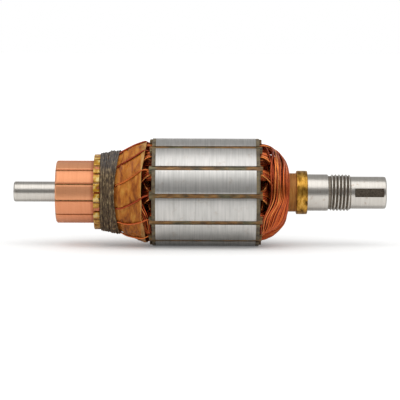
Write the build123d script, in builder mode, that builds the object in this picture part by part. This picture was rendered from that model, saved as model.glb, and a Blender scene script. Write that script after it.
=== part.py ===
from build123d import *
import os
from math import atan, cos, degrees, hypot, pi, radians, sin, sqrt

# Motor armature lying along X, with the commutator at -X and the drive end at +X.
# The origin is on the shaft axis, at the middle of the drive-end bearing journal.
# One core slot points straight down, and the keyseat faces -Y.

# Shaft, drive end
journal_diameter = 17.0
journal_length = 9.7
journal_chamfer = 0.4
thread_diameter = 16.9
thread_length = 10.4
thread_relief_length = 1.2
thread_relief_depth = 0.75
key_end_diameter = 15.0
key_end_length = 16.6
key_end_rounding = 1.0
keyseat_width = 4.0
keyseat_length = 13.3
keyseat_depth = 3.6
keyseat_from_thread = 1.9
keyseat_tilt = 3.5
centre_drill_diameter = 5.0
centre_drill_pilot = 2.0

# Shaft, under the core and at the commutator end
core_seat_diameter = 14.0
commutator_seat_diameter = 12.0
tail_diameter = 9.4
tail_length = 19.9
tail_chamfer = 0.6

# Insulating tube and brass collar on the shaft
tube_wall = 1.9
tube_show = 3.35
collar_outer_diameter = 20.25
collar_length = 5.1
collar_chamfer = 0.35
running_clearance = 0.05

# Lamination core
core_diameter = 50.0
core_length = 46.0
slot_count = 12
tooth_width = 3.5
slot_opening = 2.1
lip_thickness = 1.2
lip_root_thickness = 1.8
slot_bottom_radius = 14.2

# Fibre end plates, slot liners and slot wedges
plate_thickness = 1.65
plate_step = 0.05
liner_thickness = 0.25
liner_overhang = 0.15
wedge_thickness = 0.75
wedge_width = 3.9
wedge_recess = 0.5
wedge_overhang = 1.2

# Winding
coil_span = 5
layer_count = 6
winding_height = 14.0
head_clearance = 0.7
layer_gap = 0.5
turn_width = 3.5
fifth_turn_width = 6.4
last_turn_width = 8.4
wide_turn_thinning = 0.3
turn_clearance = 0.3
top_side_clearance = 0.05
bottom_side_clearance = 0.2
side_gap = 1.35
top_side_width = 4.2
bottom_side_width = 3.0
crown_radius = 7.5
section_flat = 0.6
top_fullness = 2.2
bottom_fullness = 3.4

# Commutator
bar_count = 12
commutator_diameter = 29.0
track_length = 17.7
riser_diameter = 35.0
riser_length = 2.9
bar_front_chamfer = 0.6
bar_depth = 4.2
dovetail_depth = 2.4
dovetail_reach = 2.6
mica_thickness = 0.8
mica_undercut = 0.6
lead_slot_depth = 1.6
lead_slot_clearance = 0.05
hub_inset = 0.8
commutator_turn = 12.5

# Leads, cone wrap and cord band
lead_space = 10.05
lead_diameter = 0.85
lead_lift = 0.25
lead_skew = 17.0
cone_large_drop = 1.4
cone_small_drop = 5.3
cone_start = 3.4
cone_length = 9.6
cone_thickness = 0.4
neck_step = 1.65
neck_drop = 2.45
lead_neck_clearance = 0.1
cord_thickness = 1.05
band_lead_gap = 0.4
band_setback = 0.4
band_rounding = 0.4

# Stations along the shaft, worked out from the journal
journal_end = journal_length / 2
thread_end = journal_end + thread_length
key_end = thread_end + key_end_length
collar_end = -journal_length / 2
collar_start = collar_end - collar_length
head_drive = collar_start - tube_show
plate_drive = head_drive - winding_height
core_drive = plate_drive - plate_thickness
core_middle = core_drive - core_length / 2
core_tail = core_drive - core_length
plate_tail = core_tail - plate_thickness
head_tail = plate_tail - winding_height
riser_back = head_tail - lead_space
riser_front = riser_back - riser_length
bar_front = riser_front - track_length
tail_end = bar_front - tail_length

# Radii and angles of the slots
core_radius = core_diameter / 2
tube_radius = core_seat_diameter / 2 + running_clearance + tube_wall
slot_pitch = 360 / slot_count
first_slot = 270
lip_radius = core_radius - lip_thickness
lip_root_radius = core_radius - lip_root_thickness
wedge_foot = lip_root_radius - wedge_thickness
pocket_radius = wedge_foot - running_clearance


def slot_half_width(radius):
    """Half the width of a slot whose teeth have parallel sides."""
    half_pitch = radians(slot_pitch / 2)
    return radius * sin(half_pitch) / cos(half_pitch) - tooth_width / 2 / cos(half_pitch)


# Slot outline, along local +X: narrow mouth, sloping lips, tapering pocket, round bottom
bottom_corner = slot_bottom_radius + 0.8
with BuildSketch() as slot_outline:
    with BuildLine():
        Polyline(
            (bottom_corner, -slot_half_width(bottom_corner)),
            (lip_root_radius, -slot_half_width(lip_root_radius)),
            (lip_radius, -slot_opening / 2),
            (core_radius + 1, -slot_opening / 2),
            (core_radius + 1, slot_opening / 2),
            (lip_radius, slot_opening / 2),
            (lip_root_radius, slot_half_width(lip_root_radius)),
            (bottom_corner, slot_half_width(bottom_corner)),
        )
        ThreePointArc(
            (bottom_corner, slot_half_width(bottom_corner)),
            (slot_bottom_radius, 0),
            (bottom_corner, -slot_half_width(bottom_corner)),
        )
    make_face()

# Pocket below the wedge, which the liner and the coil sides fill
with BuildSketch() as pocket_outline:
    with BuildLine():
        Polyline(
            (bottom_corner, -slot_half_width(bottom_corner)),
            (pocket_radius, -slot_half_width(pocket_radius)),
            (pocket_radius, slot_half_width(pocket_radius)),
            (bottom_corner, slot_half_width(bottom_corner)),
        )
        ThreePointArc(
            (bottom_corner, slot_half_width(bottom_corner)),
            (slot_bottom_radius, 0),
            (bottom_corner, -slot_half_width(bottom_corner)),
        )
    make_face()

# Shaft: one steel bar turned in steps
with BuildPart() as shaft:
    with BuildSketch(Plane.XZ):
        with BuildLine():
            Polyline(
                (tail_end, 0),
                (tail_end, tail_diameter / 2),
                (bar_front + hub_inset, tail_diameter / 2),
                (bar_front + hub_inset, commutator_seat_diameter / 2),
                (riser_back, commutator_seat_diameter / 2),
                (riser_back, core_seat_diameter / 2),
                (collar_end, core_seat_diameter / 2),
                (collar_end, journal_diameter / 2),
                (journal_end, journal_diameter / 2),
                (journal_end, thread_diameter / 2 - thread_relief_depth),
                (journal_end + thread_relief_length, thread_diameter / 2 - thread_relief_depth),
                (journal_end + thread_relief_length, thread_diameter / 2),
                (thread_end, thread_diameter / 2),
                (thread_end, key_end_diameter / 2),
                (key_end, key_end_diameter / 2),
                (key_end, 0),
                (tail_end, 0),
            )
        make_face()
    revolve(axis=Axis.X)
    end_edges = shaft.edges().filter_by(GeomType.CIRCLE).sort_by(Axis.X)
    chamfer(end_edges[0], tail_chamfer)
    fillet(shaft.edges().filter_by(GeomType.CIRCLE).sort_by(Axis.X)[-1], key_end_rounding)
    crests = shaft.edges().filter_by(GeomType.CIRCLE).filter_by(
        lambda edge: edge.radius > key_end_diameter / 2 + 0.1 and edge.center().X > journal_end - 0.1
    )
    outer = crests.filter_by(lambda edge: edge.radius > thread_diameter / 2 - 0.01)
    chamfer(outer, journal_chamfer)
    # Keyseat: cut by a disc that lies along the shaft, so its floor is curved
    key_middle = thread_end + keyseat_from_thread + keyseat_length / 2
    seat_floor = key_end_diameter / 2 - keyseat_depth
    mouth = sqrt((key_end_diameter / 2) ** 2 - (keyseat_width / 2) ** 2)
    chord_height = mouth - seat_floor
    cutter_radius = ((keyseat_length / 2) ** 2 + chord_height**2) / (2 * chord_height)
    key_up = (0, cos(radians(keyseat_tilt)), -sin(radians(keyseat_tilt)))
    key_side = (0, sin(radians(keyseat_tilt)), cos(radians(keyseat_tilt)))
    with BuildSketch(Plane((key_middle, 0, 0), x_dir=(1, 0, 0), z_dir=key_side)):
        with Locations((0, -(seat_floor + cutter_radius))):
            Circle(cutter_radius)
    extrude(amount=keyseat_width / 2, both=True, mode=Mode.SUBTRACT)
    # Centre drillings that the shaft was turned between
    for face_x, direction in ((tail_end, 1), (key_end, -1)):
        end_plane = Plane((face_x, 0, 0), x_dir=(0, 1, 0), z_dir=(direction, 0, 0))
        with BuildSketch(end_plane):
            Circle(centre_drill_diameter / 2)
        with BuildSketch(end_plane.offset((centre_drill_diameter - centre_drill_pilot) / 2 * sqrt(3))):
            Circle(centre_drill_pilot / 2)
        loft(mode=Mode.SUBTRACT)

# Insulating tube that carries the core on the shaft
with BuildPart() as insulating_tube:
    with BuildSketch(Plane.YZ.offset(riser_back + running_clearance)):
        Circle(tube_radius)
        Circle(core_seat_diameter / 2 + running_clearance, mode=Mode.SUBTRACT)
    extrude(amount=collar_start - riser_back - 2 * running_clearance)

# Brass spacer collar, held between the tube and the shoulder of the journal
with BuildPart() as spacer_collar:
    with BuildSketch(Plane.YZ.offset(collar_start)):
        Circle(collar_outer_diameter / 2)
        Circle(core_seat_diameter / 2 + running_clearance, mode=Mode.SUBTRACT)
    extrude(amount=collar_length)
    rims = spacer_collar.edges().filter_by(GeomType.CIRCLE).sort_by(SortBy.RADIUS)[-2:]
    chamfer(rims, collar_chamfer)

# Lamination core, bonded into one stack
with BuildPart() as lamination_core:
    with BuildSketch(Plane.YZ.offset(core_tail)):
        Circle(core_radius)
        Circle(tube_radius + running_clearance, mode=Mode.SUBTRACT)
        with PolarLocations(0, slot_count, start_angle=first_slot):
            add(slot_outline.sketch, mode=Mode.SUBTRACT)
    extrude(amount=core_length)


def end_plate(start):
    """Fibre end plate with the core's own slots, a hair smaller than the steel."""
    with BuildPart() as plate:
        with BuildSketch(Plane.YZ.offset(start)):
            Circle(core_radius - plate_step)
            Circle(tube_radius + running_clearance, mode=Mode.SUBTRACT)
            with PolarLocations(0, slot_count, start_angle=first_slot):
                add(slot_outline.sketch, mode=Mode.SUBTRACT)
        extrude(amount=plate_thickness)
    return plate


end_plate_tail = end_plate(plate_tail)
end_plate_drive = end_plate(core_drive)

# Slot liners: folded insulation sheet round the coil sides in each slot
with BuildPart() as slot_liners:
    with BuildSketch(Plane.YZ.offset(plate_tail - liner_overhang)):
        with PolarLocations(0, slot_count, start_angle=first_slot):
            add(offset(pocket_outline.sketch, -running_clearance, kind=Kind.INTERSECTION, mode=Mode.PRIVATE))
            add(
                offset(
                    pocket_outline.sketch,
                    -running_clearance - liner_thickness,
                    kind=Kind.INTERSECTION,
                    mode=Mode.PRIVATE,
                ),
                mode=Mode.SUBTRACT,
            )
    extrude(amount=core_length + 2 * plate_thickness + 2 * liner_overhang)


def slot_wedge(angle):
    """Slot wedge of T section: its foot is under the lips and its rib stands in the mouth."""
    rib = slot_opening / 2 - running_clearance
    with BuildPart() as wedge:
        with BuildSketch(Plane.YZ.offset(plate_tail - wedge_overhang)):
            with PolarLocations(0, 1, start_angle=angle):
                Polygon(
                    (wedge_foot, -wedge_width / 2),
                    (lip_root_radius - running_clearance, -wedge_width / 2),
                    (lip_root_radius - running_clearance, -rib),
                    (core_radius - wedge_recess, -rib),
                    (core_radius - wedge_recess, rib),
                    (lip_root_radius - running_clearance, rib),
                    (lip_root_radius - running_clearance, wedge_width / 2),
                    (wedge_foot, wedge_width / 2),
                    align=None,
                )
        extrude(amount=core_length + 2 * plate_thickness + 2 * wedge_overhang)
    return wedge


# Coils. Each fills the top or the bottom half of two slots. Its head leaves the slot, bends
# over a dome and passes the tube in an arc, one layer higher than the coil wound before it.
# Nothing is wound over the last two layers, so their heads spread out wide and thin.
layer_pitch = (winding_height - head_clearance + layer_gap) / layer_count
turn_thickness = layer_pitch - layer_gap
first_crown = head_clearance + turn_thickness / 2
pocket_skin = running_clearance + liner_thickness
side_floor = slot_bottom_radius + pocket_skin + bottom_side_clearance
side_ceiling = pocket_radius - pocket_skin - top_side_clearance
coil_side_depth = (side_ceiling - side_floor - side_gap) / 2
top_side_radius = side_ceiling - coil_side_depth / 2
bottom_side_radius = side_floor + coil_side_depth / 2
top_side = (top_side_radius, top_side_width, top_fullness)
bottom_side = (bottom_side_radius, bottom_side_width, bottom_fullness)
wide_turn_thickness = turn_thickness - wide_turn_thinning
turn_of_layer = [(turn_thickness, turn_width)] * (layer_count - 2)
turn_of_layer += [(wide_turn_thickness, fifth_turn_width), (wide_turn_thickness, last_turn_width)]
head_steps = 6
spread_steps = 2
arc_steps = 3


def pass_radius(width):
    """Radius at which a bundle of this width passes the tube."""
    return tube_radius + turn_clearance + width / 2


def head_side(side, crown, thickness, width):
    """Stations (radius, turn, height, lean, thickness, width) from the slot to the tube."""
    seat_radius, seat_width, fullness = side
    nearest = pass_radius(width)
    reach = sqrt(seat_radius**2 - nearest**2)
    stations = [(seat_radius, 0, -plate_thickness, 0, coil_side_depth, seat_width)]
    for step in range(head_steps + 1):
        along = reach * cos(pi / 2 * step / head_steps)
        radius = hypot(along, nearest)
        turn = degrees(atan(reach / nearest) - atan(along / nearest))
        share = min(1, (radius - crown_radius) / (seat_radius - crown_radius))
        height = crown * (1 - share**fullness) ** (1 / fullness)
        slope_out = share ** (fullness - 1) / (seat_radius - crown_radius)
        slope_up = (height / crown) ** (fullness - 1) / crown
        lean = degrees(atan(slope_up / slope_out))
        spread = turn_width + (width - turn_width) * min(1, step / spread_steps)
        stations.append((radius, turn, height, lean, thickness, spread))
    return stations


def head_stations(start_angle, first, second, crown, thickness, width):
    """Stations of a whole coil head, with absolute angles, from one slot to the other."""
    span = coil_span * slot_pitch
    rise = head_side(first, crown, thickness, width)
    fall = head_side(second, crown, thickness, width)
    stations = [(s[0], start_angle + s[1], *s[2:]) for s in rise]
    gap = span - rise[-1][1] - fall[-1][1]
    for step in range(1, arc_steps):
        share = step / arc_steps
        mixed = [a * (1 - share) + b * share for a, b in zip(rise[-1][2:], fall[-1][2:])]
        stations.append((rise[-1][0], start_angle + rise[-1][1] + gap * share, *mixed))
    return stations + [(s[0], start_angle + span - s[1], *s[2:]) for s in reversed(fall)]


def bundle_section(thickness, width):
    """Flattened hexagon that a bundle of wires is pressed into."""
    flat = section_flat * width / 2
    Polygon(
        (-flat, thickness / 2),
        (flat, thickness / 2),
        (width / 2, 0),
        (flat, -thickness / 2),
        (-flat, -thickness / 2),
        (-width / 2, 0),
        align=None,
    )


def coil(start_slot, layer, first, second):
    """One wound coil: two sides in the slots and a head at each end of the core."""
    start_angle = first_slot + slot_pitch * start_slot
    crown = first_crown + layer_pitch * layer
    stations = head_stations(start_angle, first, second, crown, *turn_of_layer[layer])
    points = [
        Vector(plate_drive + s[2], s[0] * cos(radians(s[1])), s[0] * sin(radians(s[1]))) for s in stations
    ]
    last = len(points) - 1
    with BuildPart() as wound:
        for index, (radius, angle, height, lean, thickness, width) in enumerate(stations):
            along = points[min(index + 1, last)] - points[max(index - 1, 0)]
            if index < 2:
                along = Vector(1, 0, 0)
            if index > last - 2:
                along = Vector(-1, 0, 0)
            outward = Vector(0, cos(radians(angle)), sin(radians(angle)))
            normal = Vector(sin(radians(lean)), 0, 0) + outward * cos(radians(lean))
            with BuildSketch(Plane(points[index], x_dir=along.cross(normal), z_dir=along)):
                bundle_section(thickness, width)
        loft(ruled=True)
        for radius, angle, height, lean, thickness, width in (stations[0], stations[-1]):
            outward = Vector(0, cos(radians(angle)), sin(radians(angle)))
            seat = Vector(core_middle, 0, 0) + outward * radius
            with BuildSketch(Plane(seat, x_dir=Vector(1, 0, 0).cross(outward), z_dir=(1, 0, 0))):
                bundle_section(thickness, width)
            extrude(amount=core_length / 2)
        mirror(about=Plane.YZ.offset(core_middle))
    return wound


# Coils of one winding arm, first to last, each one slot back from the coil before it and one
# layer higher. The other arm lays the same coils half a turn further round.
sides_of_layer = [(bottom_side, bottom_side)]
sides_of_layer += [(top_side, bottom_side)] * (layer_count - 2)
sides_of_layer += [(top_side, top_side)]
coils = []
for arm_start in (0, slot_count // 2):
    for layer, (first, second) in enumerate(sides_of_layer):
        coils.append(coil(arm_start - 1 - layer, layer, first, second))

# Radii of the commutator: dovetail foot, dovetail shoulder, brush track and riser
track_radius = commutator_diameter / 2
foot_radius = track_radius - bar_depth
shoulder_radius = foot_radius + dovetail_depth
foot_flare = dovetail_depth / 2


def bar_outline(top_trim, riser_trim, front_cut):
    """Outline of a commutator bar along the shaft, drawn as (x, radius)."""
    Polygon(
        (bar_front, shoulder_radius),
        (bar_front, track_radius - top_trim - front_cut),
        (bar_front + front_cut, track_radius - top_trim),
        (riser_front, track_radius - top_trim),
        (riser_front, riser_diameter / 2 - riser_trim),
        (riser_back, riser_diameter / 2 - riser_trim),
        (riser_back, shoulder_radius),
        (riser_back - dovetail_reach, shoulder_radius),
        (riser_back - dovetail_reach + foot_flare, foot_radius),
        (bar_front + dovetail_reach - foot_flare, foot_radius),
        (bar_front + dovetail_reach, shoulder_radius),
        align=None,
    )


def axial_plane(angle):
    """Plane that holds the shaft axis and the radius at this angle."""
    side = (0, -sin(radians(angle)), cos(radians(angle)))
    return Plane((0, 0, 0), x_dir=(1, 0, 0), z_dir=side)


bar_pitch = 360 / bar_count
first_bar = first_slot + commutator_turn + bar_pitch / 2


lead_slot_width = lead_diameter + 2 * lead_slot_clearance


def commutator_bar(angle):
    """Copper bar, wedge-shaped between two mica plates, its riser slotted for a lead."""
    with BuildPart() as bar:
        with BuildSketch(axial_plane(angle - bar_pitch / 2)):
            bar_outline(0, 0, bar_front_chamfer)
        revolve(axis=Axis.X, revolution_arc=bar_pitch)
        for edge_angle in (angle - bar_pitch / 2, angle + bar_pitch / 2):
            with BuildSketch(axial_plane(edge_angle)):
                with Locations(((bar_front + riser_back) / 2, riser_diameter / 4 + 1)):
                    Rectangle(riser_back - bar_front + 2, riser_diameter / 2)
            extrude(amount=mica_thickness / 2, both=True, mode=Mode.SUBTRACT)
        with BuildSketch(axial_plane(angle)):
            with Locations(((riser_front + riser_back) / 2, riser_diameter / 2)):
                Rectangle(riser_length, 2 * lead_slot_depth)
        extrude(amount=lead_slot_width / 2, both=True, mode=Mode.SUBTRACT)
    return bar


# Mica plates between the bars, undercut below the brush track
with BuildPart() as commutator_mica:
    for index in range(bar_count):
        with BuildSketch(axial_plane(first_bar + bar_pitch * (index + 0.5))):
            bar_outline(mica_undercut, mica_undercut / 2, 0)
        extrude(amount=mica_thickness / 2 - 0.02, both=True)

# Moulded hub that grips the dovetail feet of the bars
with BuildPart() as commutator_hub:
    with BuildSketch(Plane.XZ):
        with BuildLine():
            Polyline(
                (bar_front + hub_inset, commutator_seat_diameter / 2 + running_clearance),
                (bar_front + hub_inset, shoulder_radius - running_clearance),
                (bar_front + dovetail_reach - running_clearance, shoulder_radius - running_clearance),
                (
                    bar_front + dovetail_reach - foot_flare - running_clearance,
                    foot_radius - running_clearance,
                ),
                (
                    riser_back - dovetail_reach + foot_flare + running_clearance,
                    foot_radius - running_clearance,
                ),
                (riser_back - dovetail_reach + running_clearance, shoulder_radius - running_clearance),
                (riser_back - running_clearance, shoulder_radius - running_clearance),
                (riser_back - running_clearance, commutator_seat_diameter / 2 + running_clearance),
                close=True,
            )
        make_face()
    revolve(axis=Axis.X)

# Cone wrap over the winding head, and the neck under the cord band. The neck ends just under
# the leads where they enter the risers.
lead_radius = lead_diameter / 2
lead_seat_radius = riser_diameter / 2 - lead_slot_depth + lead_slot_clearance + lead_radius
cone_large_radius = core_radius - cone_large_drop
cone_small_radius = core_radius - cone_small_drop
neck_large_radius = cone_small_radius - neck_drop
neck_small_radius = lead_seat_radius - lead_radius - lead_neck_clearance
cone_wide = plate_tail - cone_start
cone_narrow = cone_wide - cone_length
neck_start = cone_narrow - neck_step
neck_end = riser_back + running_clearance
wrap_line = [
    (cone_wide, cone_large_radius),
    (cone_narrow, cone_small_radius),
    (neck_start, neck_large_radius),
    (neck_end, neck_small_radius),
]
with BuildPart() as cone_wrap:
    with BuildSketch(Plane.XZ):
        with BuildLine():
            Polyline(
                *wrap_line,
                *[(x, radius - cone_thickness) for x, radius in reversed(wrap_line)],
                close=True,
            )
        make_face()
    revolve(axis=Axis.X)

# Leads from the slots over the cone and under the band into the slots of the risers
lead_steps = [
    (plate_tail - wedge_overhang - lead_radius - running_clearance, wedge_foot + lead_radius, 0),
    (cone_wide, cone_large_radius + lead_radius + lead_lift, 1),
    (cone_narrow, cone_small_radius + lead_radius + lead_lift, lead_skew),
    (neck_start, neck_large_radius + lead_radius + band_lead_gap - running_clearance, lead_skew + 1),
    (neck_end + 0.1, lead_seat_radius, commutator_turn + bar_pitch / 2),
    (riser_front + 0.4, lead_seat_radius, commutator_turn + bar_pitch / 2),
]
with BuildPart() as commutator_leads:
    for index in range(slot_count):
        slot_angle = first_slot + slot_pitch * index
        route = [
            Vector(x, radius * cos(radians(slot_angle + skew)), radius * sin(radians(slot_angle + skew)))
            for x, radius, skew in lead_steps
        ]
        with BuildLine() as lead_path:
            Polyline(*route)
        with BuildSketch(Plane(route[0], z_dir=route[1] - route[0])):
            RegularPolygon(lead_radius, 6)
        sweep(path=lead_path.line, transition=Transition.RIGHT)

# Cord band, wound over the leads from the risers up to the cone
band_start = neck_start - band_setback
band_inner_large = neck_large_radius + lead_diameter + band_lead_gap
band_inner_small = neck_small_radius + lead_diameter + band_lead_gap
with BuildPart() as cord_band:
    with BuildSketch(Plane.XZ):
        with BuildLine():
            Polyline(
                (band_start, band_inner_large),
                (band_start, band_inner_large + cord_thickness - band_rounding),
                (band_start - band_rounding, band_inner_large + cord_thickness),
                (neck_end + band_rounding, band_inner_small + cord_thickness),
                (neck_end, band_inner_small + cord_thickness - band_rounding),
                (neck_end, band_inner_small),
                close=True,
            )
        make_face()
    revolve(axis=Axis.X)


def save(piece, label):
    piece.part.label = label
    export_step(piece.part, f"parts/{label}.step")


os.makedirs("parts", exist_ok=True)
save(shaft, "shaft")
save(insulating_tube, "insulating_tube")
save(spacer_collar, "spacer_collar")
save(lamination_core, "lamination_core")
save(end_plate_tail, "end_plate_tail")
save(end_plate_drive, "end_plate_drive")
save(slot_liners, "slot_liners")
save(commutator_hub, "commutator_hub")
save(commutator_mica, "commutator_mica")
save(cone_wrap, "cone_wrap")
save(commutator_leads, "commutator_leads")
save(cord_band, "cord_band")
for index, wound in enumerate(coils):
    save(wound, f"coil_{index + 1:02d}")
for index in range(slot_count):
    save(slot_wedge(first_slot + slot_pitch * index), f"slot_wedge_{index + 1:02d}")
for index in range(bar_count):
    save(commutator_bar(first_bar + bar_pitch * index), f"commutator_bar_{index + 1:02d}")
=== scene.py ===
import random
from math import acos, atan, cos, hypot, pi, radians, sin, sqrt, tan

import bpy
from mathutils import Matrix, Vector, noise


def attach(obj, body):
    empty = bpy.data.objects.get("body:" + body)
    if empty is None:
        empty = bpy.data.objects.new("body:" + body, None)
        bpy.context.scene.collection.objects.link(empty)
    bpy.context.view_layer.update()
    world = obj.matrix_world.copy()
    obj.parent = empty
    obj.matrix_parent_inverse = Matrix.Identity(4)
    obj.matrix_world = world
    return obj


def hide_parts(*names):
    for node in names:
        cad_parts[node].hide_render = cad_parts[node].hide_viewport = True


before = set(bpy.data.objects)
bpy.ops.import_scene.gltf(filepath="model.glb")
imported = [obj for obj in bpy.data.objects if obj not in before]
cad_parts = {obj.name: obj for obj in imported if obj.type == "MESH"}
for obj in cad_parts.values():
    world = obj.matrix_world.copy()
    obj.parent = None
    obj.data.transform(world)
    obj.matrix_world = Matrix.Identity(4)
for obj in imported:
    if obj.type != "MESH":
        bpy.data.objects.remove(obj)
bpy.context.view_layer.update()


# Shaft: one bar of bright steel, turned in steps between centres and ground on the journal.
# It carries a thread for the bearing nut and a keyseat cut by a disc. Sizes here are in mm,
# as (place along the shaft, radius), and mm turns them into Blender's metres.
mm = 0.001
tail_end, journal_start, journal_end, thread_end, key_end = -141.15, -4.85, 4.85, 15.25, 31.85
thread_root, thread_crest, thread_pitch, thread_runout = 7.62, 8.5, 1.6, 0.7
shaft_line = [
    (tail_end + 2.6, 1.0), (tail_end, 2.5), (tail_end, 4.1), (tail_end + 0.18, 4.45),
    (tail_end + 0.6, 4.7), (-120.45, 4.7), (-120.45, 6.0), (-100.65, 6.0), (-100.65, 7.0),
    (journal_start, 7.0), (journal_start, 8.5), (journal_end - 0.45, 8.5),
    (journal_end - 0.12, 8.38), (journal_end, 8.1), (journal_end, 7.7), (journal_end + 0.9, 7.7),
]
thread_rings = 98
ring_step = (thread_end - journal_end - 0.95) / thread_rings
shaft_line += [(journal_end + 0.95 + ring_step * ring, thread_root) for ring in range(thread_rings)]
shaft_line += [
    (thread_end, thread_root), (thread_end + 0.1, 7.5), (key_end - 1.0, 7.5),
    (key_end - 0.5, 7.366), (key_end - 0.134, 7.0), (key_end, 6.5), (key_end, 2.5),
    (key_end - 2.6, 1.0),
]


def only(piece):
    """Makes this piece the only one selected, and the active one."""
    bpy.ops.object.select_all(action="DESELECT")
    piece.select_set(True)
    bpy.context.view_layer.objects.active = piece


def turn(name, line, sides=128):
    """Turns a piece about the shaft axis. A line that ends where it began makes a ring."""
    is_ring = line[0] == line[-1]
    bpy.ops.object.select_all(action="DESELECT")
    bpy.ops.mesh.primitive_circle_add(
        vertices=sides, radius=line[0][1] * mm, location=(line[0][0] * mm, 0, 0),
        rotation=(0, pi / 2, 0), fill_type="NOTHING" if is_ring else "NGON",
    )
    piece = bpy.context.object
    piece.name = piece.data.name = name
    bpy.ops.object.transform_apply(location=True, rotation=True, scale=True)
    bpy.ops.object.mode_set(mode="EDIT")
    bpy.ops.mesh.select_all(action="SELECT")
    for (x_before, r_before), (x, r) in zip(line, line[1:]):
        step = ((x - x_before) * mm, 0, 0)
        bpy.ops.mesh.extrude_region_move(TRANSFORM_OT_translate={"value": step})
        grow = r / r_before
        bpy.ops.transform.resize(value=(1, grow, grow), center_override=(x * mm, 0, 0))
    bpy.ops.mesh.select_all(action="SELECT")
    bpy.ops.mesh.remove_doubles(threshold=0.002 * mm)
    bpy.ops.mesh.normals_make_consistent(inside=False)
    bpy.ops.object.mode_set(mode="OBJECT")
    return piece


def finish_piece(piece, material, slot, *nodes, angle=35):
    """Shades a piece, gives it its material and has it stand for its CAD nodes."""
    only(piece)
    bpy.ops.object.shade_smooth_by_angle(angle=radians(angle))
    piece.data.materials.clear()
    piece.data.materials.append(material)
    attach(piece, "root")
    if nodes:
        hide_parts(*nodes)


shaft = turn("shaft_turned", shaft_line)
for vertex in shaft.data.vertices:
    x, y, z = vertex.co / mm
    if journal_end + 0.94 < x < thread_end - 0.01:
        if abs(y) > 1e-6:
            phase = (x / thread_pitch + atan(z / y) / (2 * pi) + (0.5 if y < 0 else 0)) % 1
        else:
            phase = (x / thread_pitch + (0.25 if z > 0 else 0.75)) % 1
        flank = min(1, max(0, 1.3 - 2.6 * abs(phase - 0.5)))
        run = min(1, (x - journal_end - 0.95) / thread_runout + 0.25,
                  (thread_end - x) / thread_runout + 0.25)
        radius = thread_root + (thread_crest - thread_root) * flank * max(0, run)
        grow = radius / hypot(y, z)
        vertex.co = Vector((x, y * grow, z * grow)) * mm

# Keyseat, 4 mm wide, cut by a disc so that its floor is curved
seat_width, seat_length, seat_depth, seat_tilt = 4.0, 13.3, 3.6, radians(3.5)
seat_middle = thread_end + 1.9 + seat_length / 2
seat_floor = 7.5 - seat_depth
chord = sqrt(7.5**2 - (seat_width / 2) ** 2) - seat_floor
cutter_radius = ((seat_length / 2) ** 2 + chord**2) / (2 * chord)
seat_out = Vector((0, -cos(seat_tilt), sin(seat_tilt)))
bpy.ops.object.select_all(action="DESELECT")
bpy.ops.mesh.primitive_cylinder_add(
    vertices=160, radius=cutter_radius * mm, depth=seat_width * mm, rotation=(-seat_tilt, 0, 0),
    location=(seat_middle * mm, *(seat_out.yz * (seat_floor + cutter_radius) * mm)),
)
cutter = bpy.context.object
only(shaft)
cut = shaft.modifiers.new("keyseat", "BOOLEAN")
cut.object, cut.operation, cut.solver = cutter, "DIFFERENCE", "EXACT"
bpy.ops.object.modifier_apply(modifier=cut.name)
bpy.data.objects.remove(cutter)


def colour(hex_code):
    """Turns an sRGB hex colour into the linear one that a shader takes."""
    parts = [int(hex_code[i:i + 2], 16) / 255 for i in (1, 3, 5)]
    return (*[p / 12.92 if p <= 0.04045 else ((p + 0.055) / 1.055) ** 2.4 for p in parts], 1)


def feed(material, node, inputs):
    """Fills inputs, each with a value, a socket, or a node whose first output it takes."""
    for socket, value in inputs.items():
        if isinstance(value, bpy.types.Node):
            value = value.outputs[0]
        if isinstance(value, bpy.types.NodeSocket):
            material.node_tree.links.new(value, node.inputs[socket])
        else:
            node.inputs[socket].default_value = value


def add_node(material, kind, inputs, stops=(), **settings):
    """Adds a node with its settings, its inputs and its colour stops."""
    made = material.node_tree.nodes.new("ShaderNode" + kind)
    for setting, value in settings.items():
        setattr(made, setting, value)
    feed(material, made, inputs)
    for index, (place, hex_code) in enumerate(stops):
        ramp = made.color_ramp.elements
        stop = ramp[index] if index < len(ramp) else ramp.new(place)
        stop.position, stop.color = place, colour(hex_code)
    return made


def new_material(name):
    """A material with its main shader and its place on the object."""
    material = bpy.data.materials.new(name)
    material.use_nodes = True
    place = add_node(material, "TexCoord", {}).outputs["Object"]
    return material, material.node_tree.nodes["Principled BSDF"], place


# Turned and ground steel: bright metal with fine tool lines round it and faint brown stains,
# with painted shade, dark and dull, in the thread grooves and on the floor of the keyseat.
steel, shader, place = new_material("turned_ground_steel")
parts = add_node(steel, "SeparateXYZ", {0: place})
radial = add_node(steel, "VectorMath", {0: place, 1: (0, 1, 1)}, operation="MULTIPLY")
radius_node = add_node(steel, "VectorMath", {0: radial}, operation="LENGTH")
lines = add_node(steel, "Mapping", {"Vector": place, "Scale": (2600, 90, 90)})
tool_lines = add_node(steel, "TexNoise", {"Vector": lines, "Scale": 1.0, "Detail": 2.0})
stains = add_node(steel, "TexNoise", {
    "Vector": place, "Scale": 420.0, "Detail": 4.0, "Roughness": 0.6})
stain_mask = add_node(steel, "MapRange", {
    "Value": stains, "From Min": 0.60, "From Max": 0.74, "To Max": 0.55})
bright = add_node(steel, "ValToRGB", {0: tool_lines},
    stops=[(0.25, "#c6c1b9"), (0.75, "#d6d1c9")])
stained = add_node(steel, "Mix", {
    0: stain_mask, 6: bright, 7: colour("#9c7f66")}, data_type="RGBA")
# Painted shade in the thread grooves, darker towards their roots.
in_thread = add_node(steel, "MapRange", {
    "Value": radius_node.outputs["Value"],
    "From Min": 8.4 * mm, "From Max": 7.95 * mm, "To Max": 0.86})
past_journal = add_node(steel, "Math", {0: parts.outputs["X"], 1: (journal_end + 0.02) * mm},
    operation="GREATER_THAN")
before_key = add_node(steel, "Math", {0: parts.outputs["X"], 1: (thread_end + 0.05) * mm},
    operation="LESS_THAN")
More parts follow.
